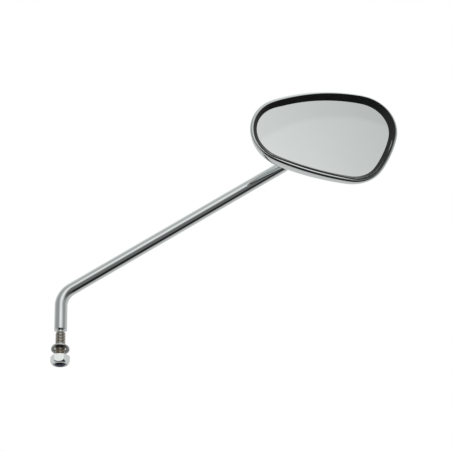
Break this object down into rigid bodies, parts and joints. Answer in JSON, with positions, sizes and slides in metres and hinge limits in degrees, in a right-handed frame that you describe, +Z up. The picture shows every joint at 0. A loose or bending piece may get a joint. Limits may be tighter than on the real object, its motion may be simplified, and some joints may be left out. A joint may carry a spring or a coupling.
{
  "type": "motorcycle mirror",
  "caption": "Teardrop chromed rear-view mirror on one bent rod with a threaded stud, a ball joint behind the glass, a loose washer and a lock nut.",
  "frame": {"origin": "on the stud's axis at the rod's lower shoulder, which seats on the bracket", "axes": "+Z up along the stud's axis, +X towards the side that the rod runs to, -Y towards the rider, whom the glass faces"},
  "size_m": [0.2803, 0.0604, 0.2093],
  "materials": {
    "rod_chrome": "polished chrome plate on steel",
    "shell_chrome": "polished chrome plate on pressed steel",
    "steel": "plain steel, oiled",
    "zinc": "bright zinc plate",
    "blue_nylon": "moulded nylon",
    "cup_nylon": "moulded nylon, greased",
    "fibre_sheet": "pressed fibre sheet",
    "foam": "closed-cell foam",
    "mirror_glass": "flat glass, silvered at the back",
    "black_rubber": "moulded rubber, slightly glossy"
  },
  "bodies": {
    "rod": {"stem_rod": "rod_chrome", "pivot_ball": "steel", "mounting_washer": "zinc"},
    "nut_insert": {"nut_insert": "blue_nylon"},
    "lock_nut": {"lock_nut": "zinc"},
    "rear_cup": {"rear_cup": "cup_nylon"},
    "front_cup": {"front_cup": "cup_nylon"},
    "head": {"clamp_ring": "steel", "socket_plate": "steel", "clamp_screw_1": "zinc", "clamp_screw_2": "zinc", "clamp_screw_3": "zinc", "spring_washer_1": "steel", "spring_washer_2": "steel", "spring_washer_3": "steel", "clamp_nut_1": "zinc", "clamp_nut_2": "zinc", "clamp_nut_3": "zinc", "backing_sheet": "fibre_sheet", "backing_pad": "foam", "mirror_glass": "mirror_glass", "glass_seal": "black_rubber", "mirror_shell": "shell_chrome"}
  },
  "joints": [
    {"name": "head_roll", "type": "hinge", "parent": "rod", "child": "rear_cup", "pos_m": [0.19611, -0.02817, 0.14684], "axis": [0.1493, -0.9848, 0.0887], "continuous": true},
    {"name": "head_turn", "type": "hinge", "parent": "rear_cup", "child": "front_cup", "pos_m": [0.19611, -0.02817, 0.14684], "axis": [0, 0, 1], "range_deg": [-15, 15]},
    {"name": "head_tilt", "type": "hinge", "parent": "front_cup", "child": "head", "pos_m": [0.19611, -0.02817, 0.14684], "axis": [0.9903, 0.1392, 0], "range_deg": [-20, 10]},
    {"name": "nut_travel", "type": "slide", "parent": "rod", "child": "nut_insert", "axis": [0, 0, 1], "range_m": [-0.0025, 0.00313]},
    {"name": "nut_spin", "type": "hinge", "parent": "nut_insert", "child": "lock_nut", "pos_m": [0, 0, 0], "axis": [0, 0, 1], "range_deg": [-721, 901]}
  ],
  "couplings": [
    {"joint": "nut_spin", "follows": "nut_travel", "rad_per_m": 5026.5}
  ]
}
